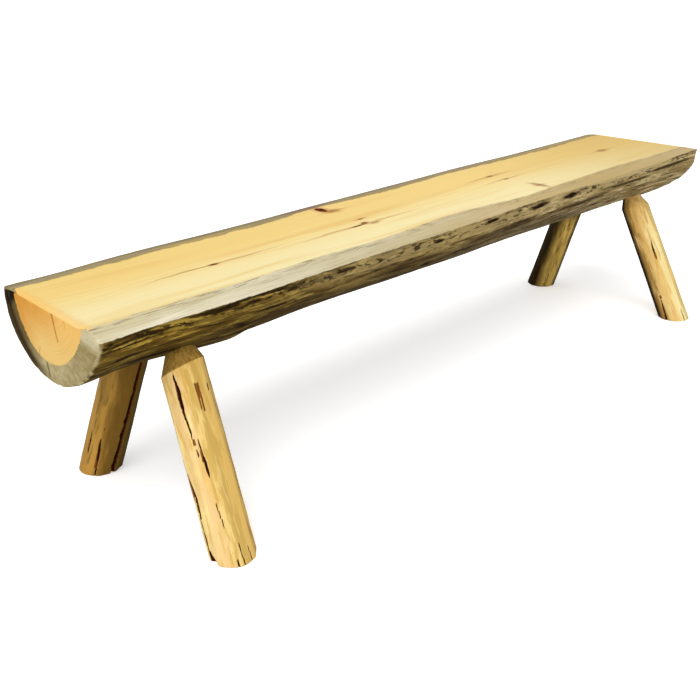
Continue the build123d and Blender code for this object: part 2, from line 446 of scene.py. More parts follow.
def blend(share, first, second, blend_type="MIX"):
    """The first colour, moved towards the second by the share."""
    inputs = {0: share, 6: first, 7: second}
    return result("ShaderNodeMix", inputs, 2, data_type="RGBA", blend_type=blend_type)


def painted(tone, *coats):
    """The tone under coats of colour, each given by its share and its red, green and blue."""
    for share, *shade in coats:
        tone = blend(share, tone, colour(*shade))
    return tone


def operator(operation):
    return lambda *numbers: math_node(operation, *numbers)


class Value:
    """A number, a colour or a place in a material. Sums with it add math nodes."""
    __add__ = operator("ADD")
    __sub__ = operator("SUBTRACT")
    __mul__ = operator("MULTIPLY")
    __truediv__ = operator("DIVIDE")
    __pow__ = operator("POWER")
    __abs__ = operator("ABSOLUTE")

    def __init__(self, socket):
        self.socket = socket

    def __rsub__(self, other):
        return math_node("SUBTRACT", other, self)

    def step(self, low, high, start=0.0, end=1.0):
        """An eased change from start, at low, to end, at high."""
        inputs = {"Value": self, "From Min": low, "From Max": high, "To Min": start, "To Max": end}
        return result("ShaderNodeMapRange", inputs, interpolation_type="SMOOTHSTEP")

    def parts(self):
        """The x, y and z of a place."""
        made = add_node(self.socket.id_data, "ShaderNodeSeparateXYZ", {"Vector": self})
        return [Value(socket) for socket in made.outputs]

    def noise(self, size, detail=3.0, roughness=0.55, distortion=0.0, shift=(0, 0, 0)):
        """Noise from 0 to 1, with features as large as size, which is (x, y, z) in metres."""
        inputs = {"Vector": self, "Scale": [1 / length for length in size], "Location": shift}
        inputs = {
            "Vector": result("ShaderNodeMapping", inputs),
            "Scale": 1.0,
            "Detail": detail,
            "Roughness": roughness,
            "Distortion": distortion,
        }
        return result("ShaderNodeTexNoise", inputs, "Fac")


class Shader:
    """One material, and the values in it that the rest are worked out from."""

    def __init__(self, name):
        self.material = bpy.data.materials.new(name)
        self.material.use_nodes = True
        self.tree = self.material.node_tree

    def source(self, kind, output, **settings):
        return Value(add_node(self.tree, kind, {}, **settings).outputs[output])

    def stored(self, name, output="Fac"):
        """A number kept in the mesh, or a place if the output is Vector."""
        return self.source("ShaderNodeAttribute", output, attribute_name=name)

    def finished(self, looks):
        """The material, after its surface is given the looks."""
        surface = self.tree.nodes["Principled BSDF"]
        for name, value in looks.items():
            give(surface.inputs[name], value)
        return self.material


def colour(red, green, blue):
    """A colour as a picture's 0 to 255 values give it, made linear."""
    def linear(value):
        share = value / 255
        return share / 12.92 if share <= 0.04045 else ((share + 0.055) / 1.055) ** 2.4
    return (linear(red), linear(green), linear(blue), 1.0)


# ======== the seat log ========

def measure_log(count=45, reach=0.4, near_end=0.03, drops=(0.027, 0.072)):
    """The pith's height, and its sweep and the radius at steps along the CAD log."""
    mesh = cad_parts["seat_log"].data
    corners = [vertex.co for vertex in mesh.vertices]
    tree = BVHTree.FromPolygons(corners, [face.vertices for face in mesh.polygons])
    heights = seat_height - np.array(drops)
    places = np.linspace(near_end - half_length, half_length - near_end, count)
    widths = np.zeros((count, 2))
    middles = np.zeros(count)
    for number, x in enumerate(places):
        for pick, height in enumerate(heights):
            front = tree.ray_cast(Vector((x, -reach, height)), Vector((0, 1, 0)))[0].y
            back = tree.ray_cast(Vector((x, reach, height)), Vector((0, -1, 0)))[0].y
            widths[number, pick] = (back - front) / 2
            middles[number] += (front + back) / 4
    squares = widths**2
    rise = (squares[:, 0] - squares[:, 1]) / (heights[0] - heights[1])
    pith_height = float(np.median((rise + heights[0] + heights[1]) / 2))
    radii = np.sqrt(squares + (pith_height - heights) ** 2).mean(axis=1)
    return pith_height, places, middles, radii


pith_height, measured_x, measured_sweep, measured_radius = measure_log()
flat_below_axis = pith_height - seat_height


def sweep_at(x):
    return np.interp(x, measured_x, measured_sweep)


def radius_at(x):
    return np.interp(x, measured_x, measured_radius)


def end_x(end, y, z):
    """Where a sawn end lies along the bench, with the bevel round it taken off."""
    pick = int(end > 0)
    sweep = sweep_at(end * half_length)
    radius = radius_at(end * half_length)
    plane = end * (half_length + end_slant[pick] * y + end_lean[pick] * (seat_height - z))
    past = np.hypot(y - sweep, z - pith_height) - (radius - ring_inset[pick])
    past = np.maximum(past, 0) / ring_inset[pick]
    depth = ring_depth[pick] - ring_skew[pick] * (y - sweep) / radius
    return plane - end * past * depth


def spaced(count, edge):
    """Shares from 0 to 1, with another close to both ends."""
    return np.concatenate([[0], np.linspace(edge, 1 - edge, count), [1]])


def bark_edge(x, side, inset, drop, wave):
    """The flat's edge, and the bark's upper edge, at each x: distances from the pith and drops."""
    share = x / (2 * half_length) + 0.5
    radius = radius_at(x)
    inset_here = lerp(inset, share) + wave
    flat = np.sqrt(radius**2 - flat_below_axis**2) - inset_here
    fall = lerp(drop, share)
    if side < 0:
        fall = fall - front_rise * smooth_step(x, front_rise_from, front_rise_to)
    bark = np.sqrt(radius**2 - (flat_below_axis + fall) ** 2)
    return side * flat, side * bark, fall


def edge_wave(x, side):
    """The hand-worked wander of a long bevel's inner edge."""
    line = np.stack([x, np.full_like(x, side * 3.0), np.zeros_like(x)], axis=-1)
    wave = 0.0035 * layered(line, (0.21, 1, 1), 3, seed=5)
    if side < 0:
        for size, place, reach in front_edge_bends:
            wave = wave + size * np.exp(-(((x - place) / reach) ** 2))
    return wave


def log_sections(x):
    """The points round the log at each x, from the seat's front edge over the seat, down
    the back, under the log and up the front. Also which region each point is in."""
    sweep = sweep_at(x)
    radius = radius_at(x)
    front_flat, front_bark, front_fall = bark_edge(x, -1, front_inset, front_drop, edge_wave(x, -1))
    back_flat, back_bark, back_fall = bark_edge(x, +1, back_inset, back_drop, edge_wave(x, +1))
    flat_z = -flat_below_axis
    columns = []
    regions = []

    def add(region, y, z):
        columns.append(np.stack([x, sweep + y, pith_height + z + 0 * x], axis=-1))
        regions.append(region)

    shares = spaced(flat_points, 0.006)
    for share in 0.5 * shares + 0.5 * (0.5 - 0.5 * np.cos(np.pi * shares)):
        add(FLAT, lerp((front_flat, back_flat), share), flat_z)
    shares = spaced(bevel_points, 0.03)[1:]
    for share in shares:
        add(BACK_BEVEL, lerp((back_flat, back_bark), share), flat_z - share * back_fall)
    back_angle = np.arctan2(-flat_below_axis - back_fall, back_bark)
    front_angle = -np.pi - np.arctan2(-flat_below_axis - front_fall, -front_bark)
    for share in spaced(bark_points, 0.0025)[1:]:
        angle = lerp((back_angle, front_angle), share)
        add(BARK, radius * np.cos(angle), radius * np.sin(angle))
    for share in shares[:-1]:
        add(FRONT_BEVEL, lerp((front_bark, front_flat), share), flat_z - (1 - share) * front_fall)
    return np.stack(columns, axis=1), np.array(regions)


def build_seat(material):
    """The whole log: its long surfaces, then a ring and a sawn face at both ends."""
    shares = np.linspace(0, 1, rows_along)
    close = np.array(rows_near_ends) / (2 * half_length)
    shares = np.unique(np.concatenate([shares, close, 1 - close]))
    points, regions = log_sections(lerp((-half_length, half_length), shares))
    points = with_butts(points, regions)
    rows, columns = points.shape[:2]
    left = end_x(-1, points[..., 1], points[..., 2])
    right = end_x(+1, points[..., 1], points[..., 2])
    points[..., 0] = left + (right - left) * shares[:, None]

    # Outward directions across the log, from each point's neighbours round the section.
    tangent = np.roll(points, -1, axis=1) - np.roll(points, 1, axis=1)
    outward = unit(np.stack([0 * left, -tangent[..., 2], tangent[..., 1]], axis=-1))
    relief, values = surface_relief(points, regions)
    from_end = np.minimum(points[..., 0] - left, right - points[..., 0])
    values["tip"] = np.minimum(from_end, tip_reach)
    points = points + outward * relief[..., None] + eased_arris(points, regions, from_end)

    ids = np.arange(rows * columns).reshape(rows, columns)
    faces = grid_faces(ids)
    sawn = [0] * len(faces)
    count = rows * columns
    parts = [points.reshape(-1, 3)]
    values = {key: [value.reshape(-1)] for key, value in values.items()}
    for end, row in ((-1, 0), (+1, rows - 1)):
        cap, cap_values, cap_faces = build_end(end, points[row], ids[row], count)
        parts.append(cap)
        for key, known in values.items():
            known.append(cap_values[key])
        faces += cap_faces
        sawn += [1] * len(cap_faces)
        count += len(cap)
    values = {key: np.concatenate(value) for key, value in values.items()}
    kept = np.clip(np.concatenate(parts), cad_low, cad_high)
    values["wood"] = from_pith(kept)
    seat = make_piece("bench_seat", kept, faces, values, material)
    store(seat.data, "sawn", np.array(sawn), "FACE")
    return seat


def with_butts(points, regions):
    """The sections with the log's bevels and bark side spread towards both sawn ends."""
    off = from_pith(points)
    angle = np.degrees(np.arctan2(off[..., 2], off[..., 1]))
    spread = np.zeros(angle.shape)
    for end, sizes in ((-1, left_butt), (+1, right_butt)):
        near = np.exp(-(((points[..., 0] - end * half_length) / swell_length) ** 2))
        spread = spread + near * np.interp(angle, butt_angles, sizes)
    spread = spread * np.clip((seat_height - points[..., 2]) / 0.002, 0, 1) * (regions > 0)
    out = np.stack([0 * angle, np.cos(np.radians(angle)), np.sin(np.radians(angle))], axis=-1)
    return points + out * spread[..., None]


def eased_arris(points, regions, from_end):
    """The move inwards that rounds the arris at both ends. Every point moves straight towards
    the middle of its own section, so that neighbours never cross at the corners."""
    sweep = sweep_at(points[:, 0, 0])
    radius = radius_at(points[:, :1, 0])
    centre = np.stack([sweep, 0 * sweep + cap_centre_height], axis=-1)
    reach = points[..., 1:] - centre[:, None]

    def cut(size):
        lack = np.clip(size - from_end, 0, None)
        return size - np.sqrt(np.maximum(size**2 - lack**2, 0))

    # The share of the way out that each flat side allows, for the seat and both bevels.
    flat_start, *_, flat_end = np.flatnonzero(regions == FLAT)
    back_end = np.flatnonzero(regions == BACK_BEVEL)[-1]
    bark_end = np.flatnonzero(regions == BARK)[-1]
    sides = (
        (flat_start, flat_end, arris_radius),
        (flat_end, back_end, bark_arris_radius),
        (bark_end, flat_start, bark_arris_radius),
    )
    share = np.ones(reach.shape[:2])
    for first, last, size in sides:
        run = reach[:, last] - reach[:, first]
        out = unit(np.stack([-run[:, 1], run[:, 0]], axis=-1))
        distance = (out * reach[:, first]).sum(axis=-1)[:, None]
        towards = (out[:, None] * reach).sum(axis=-1)
        allowed = (distance - cut(size)) / np.maximum(towards, 1e-6)
        share = np.where(towards > 0.002, np.minimum(share, allowed), share)
    own = np.hypot(points[..., 1] - sweep[:, None], points[..., 2] - pith_height)
    rounded = np.maximum(radius, own) - cut(bark_arris_radius)
    share = np.minimum(share, share_to_circle(reach, rounded))
    move = np.zeros(points.shape)
    move[..., 1:] = reach * (share - 1)[..., None]
    return move


def from_pith(points):
    """Places measured from the pith's line: along it, towards the back and up."""
    off = points.copy()
    off[..., 1] -= sweep_at(points[..., 0])
    off[..., 2] -= pith_height
    return off


def surface_relief(points, regions):
    """How far each point of the log's long surfaces stands out, and what the shader is told."""
    x, y, z = from_pith(points).transpose(2, 0, 1)
    angle = np.degrees(np.arctan2(z, y))

    # Distances round the section: in from the flat's edges, and down from the bevels' edges.
    steps = np.linalg.norm(np.roll(points, -1, axis=1) - points, axis=-1)
    run = np.cumsum(steps, axis=1) - steps
    whole = steps.sum(axis=1)[:, None]
    on_bark = np.flatnonzero(regions == BARK)
    edge = run[:, [np.count_nonzero(regions == FLAT) - 1]]
    on_flat = (regions == FLAT)[None, :]
    rim = np.where(on_flat, np.minimum(run, edge - run), -np.minimum(run - edge, whole - run))
    under = np.minimum(run - run[:, [on_bark[0] - 1]], run[:, [on_bark[-1]]] - run)

    lumps = 0.0022 * layered(points, (0.26, 0.11, 0.11), 2, seed=1)
    ripple = 0.0006 * layered(points, (0.07, 0.011, 0.011), 3, seed=2)
    field = layered(points, (0.13, 0.02, 0.02), 4, seed=3)
    field = field + 0.4 * layered(points, (0.5, 0.1, 0.1), 2, seed=4)
    bias = 0.1 - 0.25 * smooth_step(x, -0.3, 0.6) + 0.25 * smooth_step(under, 0.05, 0.13)
    plates = smooth_step(field + bias, 0.05, 0.22) * smooth_step(under, 0.0, 0.004)
    bark_relief = smooth_step(under, 0.0, 0.012) * (lumps + ripple) + 0.0011 * plates
    # The knot's swell rises slowly on its left and drops quickly on its right.
    off = x - knot_swell.x
    off = off / np.where(off < 0, knot_swell.left_reach, knot_swell.right_reach)
    off = off**2 + ((angle - knot_swell.angle) / knot_swell.angle_reach) ** 2
    bark_relief = bark_relief + knot_swell.height * np.exp(-off)

    facets = 0.0007 * layered(points, (0.16, 0.016, 0.016), 2, seed=6)
    flat_wave = -0.0003 + 0.0002 * layered(points, (0.3, 0.07, 0.07), 2, seed=7)
    relief = np.where(on_flat, flat_wave, np.where(regions == BARK, bark_relief, facets))
    return relief, {"plates": plates, "rim": rim, "under": under, "inner": 0 * rim}


def share_to_circle(reach, radius):
    """How much of each reach, from the middle of a sawn end, lies in a circle round the pith."""
    away = np.array([0.0, cap_centre_height - pith_height])
    a = (reach**2).sum(axis=-1)
    b = reach @ away
    c = away @ away - radius**2
    return (-b + np.sqrt(b**2 - a * c)) / a


def build_end(end, loop, loop_ids, first_id):
    """The ring and the sawn face that close one end of the log."""
    sweep = float(sweep_at(end * half_length))
    inner = float(radius_at(end * half_length)) - ring_inset[int(end > 0)]
    centre = np.array([sweep, cap_centre_height])
    reach = loop[:, 1:] - centre
    stop = np.minimum(share_to_circle(reach, inner), 1.0)

    rows = [1 + (stop - 1) * share for share in spaced(ring_rows, 0.04)[1:]]
    rows.append(stop * 0.996)
    rows += [stop * (1 - share) for share in np.linspace(0, 1, face_rows + 1)[1:-1] ** 1.2]
    ids = [loop_ids]
    cap = []
    for share in rows:
        row_ids = np.array(ids[-1])
        for column in np.flatnonzero(share <= 0.9999):
            row_ids[column] = first_id + len(cap)
            cap.append((0.0, *(centre + reach[column] * share[column])))
        ids.append(row_ids)
    faces = grid_faces(np.array(ids)) + fan_faces(ids[-1], first_id + len(cap))
    cap = np.array([*cap, (0.0, *centre)])
    unevenness = 0.0002 * (1 + layered(cap, (1, 0.03, 0.03), 2, seed=8))
    cap[:, 0] = end_x(end, cap[:, 1], cap[:, 2]) - end * unevenness
    values = {key: np.zeros(len(cap)) for key in ("plates", "rim", "under", "tip")}
    values["inner"] = inner - np.hypot(cap[:, 1] - sweep, cap[:, 2] - pith_height)
    return cap, values, faces


# ======== the legs ========

Pole = namedtuple("Pole", "foot axes foot_radius shoulder shoulder_radius neck end")


def measure_leg(node):
    """A CAD leg's place: its foot, its own axes, and how far up its shoulder and tenon are."""
    corners = corners_of(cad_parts[node].data)
    foot = middle_of(corners[corners[:, 2] < 0.0001])
    up = unit(corners[corners[:, 2].argmax()] - foot)
    for attempt in range(5):
        far = (corners - foot) @ up
        end_ring = corners[far > far.max() - 0.001 - 0.002 / (attempt + 1)]
        up = unit(middle_of(end_ring) - foot)
    along = (corners - foot) @ up
    away = np.linalg.norm(corners - foot - along[:, None] * up, axis=1)
    foot_radius = away[along < 0.06].max()
    thick = away > 0.91 * foot_radius
    shoulder = along[thick].max()
    tenon = (np.abs(away - tenon_radius) < 0.0003) & (along > shoulder)
    return Pole(
        foot,
        axes_along(up, (0, 1, 0)),
        foot_radius,
        shoulder,
        away[thick & (along > shoulder - 0.001)].max(),
        along[tenon].min(),
        along.max(),
    )


def shoulder_lift(name, angle):
    """How much further up the pole its hewn cone lies at each angle round it."""
    rise, turn, lift = shoulder_tilts[name]
    return rise * (np.cos(angle - math.radians(turn)) - 0.5) + lift


def turned_apart(first, second):
    """The smaller angle between two directions, in radians, with its sign."""
    return (first - second + np.pi) % (2 * np.pi) - np.pi


def facet_cut(angle, along, radius, facets, rng):
    """How far drawknife facets cut in below a round pole."""
    cut = np.zeros_like(radius)
    for degrees, depth in facets:
        drift = rng.uniform(-0.25, 0.25)
        swing = rng.uniform(0.25, 0.5)
        phase = rng.uniform(0, 2 * np.pi)
        depth_here = depth * (1 + 0.35 * np.sin(along / swing * 2 * np.pi + phase))
        off = turned_apart(angle, np.radians(degrees) + drift * (along - 0.17))
        plane = radius * (1 - depth_here) / np.maximum(np.cos(off), 0.2)
        cut = np.maximum(cut, radius - plane)
    return cut


def check_depths(checks, angle, along, radius, seed):
    """How deep the drying checks are at each point, and how near the point is to one."""
    depth = np.zeros_like(along)
    near = np.zeros_like(along)
    for number, check in enumerate(checks):
        share = np.clip((along - check.low) / (check.high - check.low), 0, 1)
        inside = (along > check.low) & (along < check.high)
        middle = np.radians(lerp((check.low_angle, check.high_angle), share))
        line = np.stack([along / 0.022, along * 0 + number * 3.7, along * 0 + seed], axis=-1)
        wander = 0.0005 * noise(line, seed) + 0.0004 * noise(line * 3, seed + 1)
        off = radius * turned_apart(angle, middle) + wander
        open_here = np.sin(np.pi * share**0.8) ** 0.8 * (1 + 0.35 * noise(line * 1.7, seed + 2))
        width = check.width * np.clip(open_here, 0.05, 1.3) + 1e-5
        depth = np.maximum(depth, check.depth * open_here * np.exp(-((off / width) ** 4)) * inside)
        near = np.maximum(near, np.clip(1.5 - np.abs(off) / width, 0, 1.5) * inside)
    return depth, near


def strip_marks(strips, angle, along, radius):
    """How near each point is to a strip of inner bark: 0.5 at its edge."""
    mark = np.zeros_like(along)
    for strip in strips:
        off = radius * turned_apart(angle, np.radians(strip.angle)) / strip.half_width
        up = (along - strip.along) / strip.half_length
        mark = np.maximum(mark, 1.5 - np.maximum(off**2, up**2) ** 0.5)
    return mark


def build_leg(name, checks, material, seed):
    """One pole leg: a level foot, the peeled pole, a hewn shoulder and a round tenon."""
    pole = measure_leg("leg_" + name)
    rng = np.random.default_rng(seed)
    level, across, up = pole.axes
    angle = full_turn(pole_columns)
    lift = -(level[2] * np.cos(angle) + across[2] * np.sin(angle)) / up[2]
    raised = shoulder_lift(name, angle)
    shoulder = pole.shoulder + raised
    neck = pole.neck + raised
    tenon_stop = pole.end - tenon_chamfer
    foot_edge = lift * pole.foot_radius + foot_chamfer
    pole_radii = (pole.foot_radius, pole.shoulder_radius)

    # The stretches up the pole: how far along and how thick each one starts and stops.
    stretches = (
        (POLE, np.linspace(0, 1, pole_rows), (foot_edge, shoulder - shoulder_arris), pole_radii),
        (HEWN, np.linspace(0.02, 1, cone_rows), (shoulder, neck), (pole.shoulder_radius, tenon_radius)),
        (TENON, np.linspace(0.1, 1, tenon_rows), (neck, tenon_stop), (tenon_radius, tenon_radius)),
        (TENON, (1,), (tenon_stop, pole.end), (tenon_radius, tenon_radius - tenon_chamfer)),
    )
    rows = [
        (part + 0 * angle, lerp(along, share) + 0 * angle, lerp(radius, share) + 0 * angle)
        for part, shares, along, radius in stretches
        for share in shares
    ]
    part, along, radius = np.array(rows).transpose(1, 0, 2)
    angles = angle[None, :] + 0 * along
    on_pole = part == POLE
    worked = np.where(on_pole, 1.0, np.where(part == HEWN, 0.8, 0))
    facets = leg_facets[name] + hidden_facets
    cut = facet_cut(angles, along, radius, facets, rng) * worked
    around = np.stack([np.cos(angles), np.sin(angles), along / 0.12], axis=-1)
    uneven = 0.0007 * layered(around, (1, 1, 1), 3, seed) - 0.0007
    flecks = np.stack([angles * 9, along / 0.02, 0 * along], axis=-1)
    fine = 0.00022 * layered(flecks, (1, 1, 1), 2, seed)
    depth, near = check_depths(checks, angles, along, radius, seed)
    marks = strip_marks(leg_strips[name], angles, along, radius) * on_pole
    fade = smooth_step(pole.shoulder - along, -0.002, 0.012)
    shaped = radius - cut + (uneven + fine) * np.where(on_pole, 1.0, 0.3 * (part == HEWN))
    shaped = shaped - depth * fade * on_pole + 0.0005 * smooth_step(marks, 0.4, 0.6)
    shaped = np.minimum(shaped, radius)

    # The foot's level face, from its middle out to the chamfer, and the tenon's end.
    face_radius = np.outer(np.linspace(0, 1, foot_rows + 1)[1:], shaped[0] - foot_chamfer)
    top_radius = np.outer((0.66, 0.33), shaped[-1])
    all_radius = np.concatenate([face_radius, shaped, top_radius])
    all_along = np.concatenate([lift * face_radius, along, pole.end + 0 * top_radius])
    local = np.stack([all_radius * np.cos(angle), all_radius * np.sin(angle), all_along], axis=-1)
    rows = len(local)
    local = np.concatenate([local.reshape(-1, 3), [[0, 0, 0], [0, 0, pole.end]]])
    points = pole.foot + local @ pole.axes
    points[:, 2] = np.maximum(points[:, 2], 0)

    def whole(value, foot_value=0.0):
        below = np.full(face_radius.shape, foot_value)
        above = np.zeros(top_radius.shape)
        return np.concatenate([np.concatenate([below, value, above]).ravel(), [foot_value, 0]])

    values = {
        "wood": local,
        "crack": whole(near * fade * on_pole),
        "strip": whole(marks),
        "hewn": whole(np.where(part == HEWN, 1.0, 0.0)),
        "foot": whole(np.zeros_like(along), 1.0),
    }
    faces = tube_faces(rows, pole_columns)
    piece = make_piece("bench_leg_" + name, points, faces, values, material)
    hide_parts("leg_" + name)
    return piece


# ======== the screws, and the holes in the log ========

def lathe_rings(rings, columns, foot, axes):
    """Points and faces of a closed turned shape. Each ring is how far along the axis it is, and
    its radius, both for each column or for all."""
    angle = full_turn(columns)
    rings = np.array([(along + 0 * angle, radius + 0 * angle) for along, radius in rings])
    along, radius = rings.transpose(1, 0, 2)
    local = np.stack([radius * np.cos(angle), radius * np.sin(angle), along], axis=-1)
    middles = [[0, 0, along[0].mean()], [0, 0, along[-1].mean()]]
    points = foot + np.concatenate([local.reshape(-1, 3), middles]) @ axes
    return points, tube_faces(len(rings), columns)


def measure_screw(node):
    """The middle of a CAD screw's head, and its own axes with the last one towards its tip."""
    corners = corners_of(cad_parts[node].data)
    spread = np.linalg.svd(corners - corners.mean(axis=0), full_matrices=False)[2][0]
    along = corners @ spread
    ends = [corners[np.abs(along - place) < 0.0004] for place in (along.min(), along.max())]
    tip, head = sorted(ends, key=lambda ring: np.ptp(ring, axis=0).max())
    return middle_of(head), axes_along(unit(middle_of(tip) - middle_of(head)), (1, 0, 0))


def build_screw(name, material):
    """One structural screw: a washer head with a six-lobed recess, and a threaded shank."""
    head, axes = measure_screw("tenon_screw_" + name)
    angle = full_turn(screw_columns)
    lobes = 1 + 0.13 * np.cos(6 * angle)
    shank = shank_radius - 0.0002
    head_edge = head_radius - 0.0002
    rings = [(recess_depth, 0.0021 * lobes), (recess_depth - 0.0001, 0.0022 * lobes)]
    rings += [(0.0002, 0.0025 * lobes), (0.0, 0.00265 * lobes), (0.0, 0.0047), (0.00015, 0.005)]
    rings += [(0.0023, head_edge), (0.0026, head_radius), (0.0037, head_radius)]
    rings += [(screw_head_height, head_edge), (screw_head_height, 0.0034), (0.0043, shank)]
    rings += [(place, shank) for place in np.linspace(0.01, thread_start, 8)]
    for place in np.arange(thread_start, screw_reach, 0.0005):
        turn = (place / thread_pitch - angle / (2 * np.pi)) % 1
        ridge = np.clip(1 - np.abs(turn - 0.5) / 0.25, 0, 1)
        grown = smooth_step(place, thread_start, thread_start + 0.004)
        core = shank - 0.0008 * grown
        taper = min(1.0, (screw_reach - place) / screw_point)
        rings.append((place, (core + ridge * (shank_radius - core) * grown) * taper))
    points, faces = lathe_rings(rings, screw_columns, head, axes)
    recess = np.zeros(len(points))
    recess[:3 * screw_columns] = 1
    recess[-2] = 1
    values = {"recess": recess}
    piece = make_piece("bench_screw_" + name, points, faces, values, material)
    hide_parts("tenon_screw_" + name)


def hole_cutter(shapes, material):
    """A mesh object to cut several separate turned holes with."""
    all_points = []
    all_faces = []
    count = 0
    for rings, foot, axes in shapes:
        points, faces = lathe_rings(rings, hole_columns, foot, axes)
        all_points.append(points)
        all_faces += [[number + count for number in face] for face in faces]
        count += len(points)
    return add_object("cutter", closed_mesh("cutter", np.concatenate(all_points), all_faces, material))


def bore_holes(seat, material):
    """Cuts the mortises and the screws' stepped holes up into the log."""
    mortises = []
    bores = []
    tenon_hole = tenon_radius + socket_gap
    shank_hole = shank_radius + socket_gap
    for name in leg_names:
        pole = measure_leg("leg_" + name)
        slope = (pole.shoulder_radius - tenon_radius) / (pole.neck - pole.shoulder)
        wide = pole.shoulder_radius + cone_run_out * slope + socket_gap
        raised = shoulder_lift(name, full_turn(hole_columns))
        rings = [(pole.shoulder + raised - cone_run_out, wide), (pole.neck + raised, tenon_hole)]
        rings.append((pole.end + tip_room, tenon_hole))
        mortises.append((rings, pole.foot, pole.axes))
        head, axes = measure_screw("tenon_screw_" + name)
        rings = [(-0.03, counterbore_radius), (screw_head_height, counterbore_radius)]
        rings += [(screw_head_height, shank_hole), (screw_reach + tip_room, shank_hole)]
        bores.append((rings, head, axes))
    old = seat.data
    places = KDTree(len(old.vertices))
    for number, vertex in enumerate(old.vertices):
        places.insert(vertex.co, number)
    places.balance()
    cutters = [hole_cutter(mortises, material), hole_cutter(bores, material)]
    for cutter in cutters:
        modifier = seat.modifiers.new("bore", "BOOLEAN")
        modifier.object = cutter
        modifier.solver = "EXACT"
        modifier.material_mode = "TRANSFER"
    graph = bpy.context.evaluated_depsgraph_get()
    cut = bpy.data.meshes.new_from_object(seat.evaluated_get(graph))
    seat.modifiers.clear()

    # The values kept in the mesh, for the new corners too.
    nearest = np.array([places.find(vertex.co)[1] for vertex in cut.vertices])
    for key in ("plates", "rim", "under", "inner", "tip"):
        known = np.zeros(len(old.vertices), np.float32)
        old.attributes[key].data.foreach_get("value", known)
        store(cut, key, known[nearest])
    store(cut, "wood", from_pith(corners_of(cut)))
    made = bmesh.new()
    made.from_mesh(cut)
    for edge in made.edges:
        edge.smooth = edge.smooth and len({face.material_index for face in edge.link_faces}) < 2
    made.to_mesh(cut)
    made.free()
    seat.data = cut
    bpy.data.meshes.remove(old)
    for cutter in cutters:
        bpy.data.objects.remove(cutter)


# ======== the camera, the light and the floor ========

def make_camera():
    """The camera stands where the picture was taken."""
    yaw, pitch, roll = (math.radians(turn) for turn in (camera_yaw, camera_pitch, camera_roll))
    ahead = Vector((math.sin(yaw), math.cos(yaw), 0))
    forward = ahead * math.cos(pitch) - Vector((0, 0, math.sin(pitch)))
    level = Vector((math.cos(yaw), -math.sin(yaw), 0))
    upright = level.cross(forward)
    right = level * math.cos(roll) + upright * math.sin(roll)
    up = upright * math.cos(roll) - level * math.sin(roll)
    data = bpy.data.cameras.new("camera")
    data.sensor_width = 36
    data.lens = focal_pixels / picture_width * data.sensor_width
    data.clip_end = 200
    camera = add_object("camera", data)
    turn = Matrix((right, up, -forward)).transposed().to_4x4()
    camera.matrix_world = Matrix.Translation(camera_place) @ turn
    bpy.context.scene.camera = camera


def make_light(sky_strength=0.5, sun_strength=1.75, sun_from=(-0.55, -0.4, 1.0), sun_angle=40):
    """An even sky, white where it is seen, and one broad soft lamp high behind the camera."""
    world = bpy.data.worlds.new("studio")
    bpy.context.scene.world = world
    world.use_nodes = True
    background = world.node_tree.nodes["Background"].inputs
    rays = add_node(world.node_tree, "ShaderNodeLightPath", {}).outputs
    seen = larger(Value(rays["Is Camera Ray"]), Value(rays["Is Glossy Ray"]))
    seen = larger(seen, Value(rays["Is Transmission Ray"]))
    limits = {"Value": seen, "To Min": sky_strength, "To Max": 1.0}
    give(background["Color"], (1, 1, 1, 1))
    give(background["Strength"], result("ShaderNodeMapRange", limits))
    data = bpy.data.lights.new("key", "SUN")
    data.energy = sun_strength
    data.angle = math.radians(sun_angle)
    lamp = add_object("key", data)
    lamp.rotation_euler = Vector(sun_from).to_track_quat("Z", "Y").to_euler()


def make_floor(half_size=60.0, camera_lift=0.45):
    """A plain white floor, a little brighter to the camera than its own light makes it."""
    mesh = bpy.data.meshes.new("floor")
    corners = [(-1, -1), (1, -1), (1, 1), (-1, 1)]
    mesh.from_pydata([(x * half_size, y * half_size, 0) for x, y in corners], [], [(0, 1, 2, 3)])
    floor = add_object("floor", mesh)
    shader = Shader("floor_white")
    looks = {
        "Base Color": (0.97, 0.97, 0.97, 1),
        "Roughness": 0.9,
        "Specular IOR Level": 0.0,
        "Emission Color": (1, 1, 1, 1),
        "Emission Strength": shader.source("ShaderNodeLightPath", "Is Camera Ray") * camera_lift,
    }
    mesh.materials.append(shader.finished(looks))


# ======== the materials ========

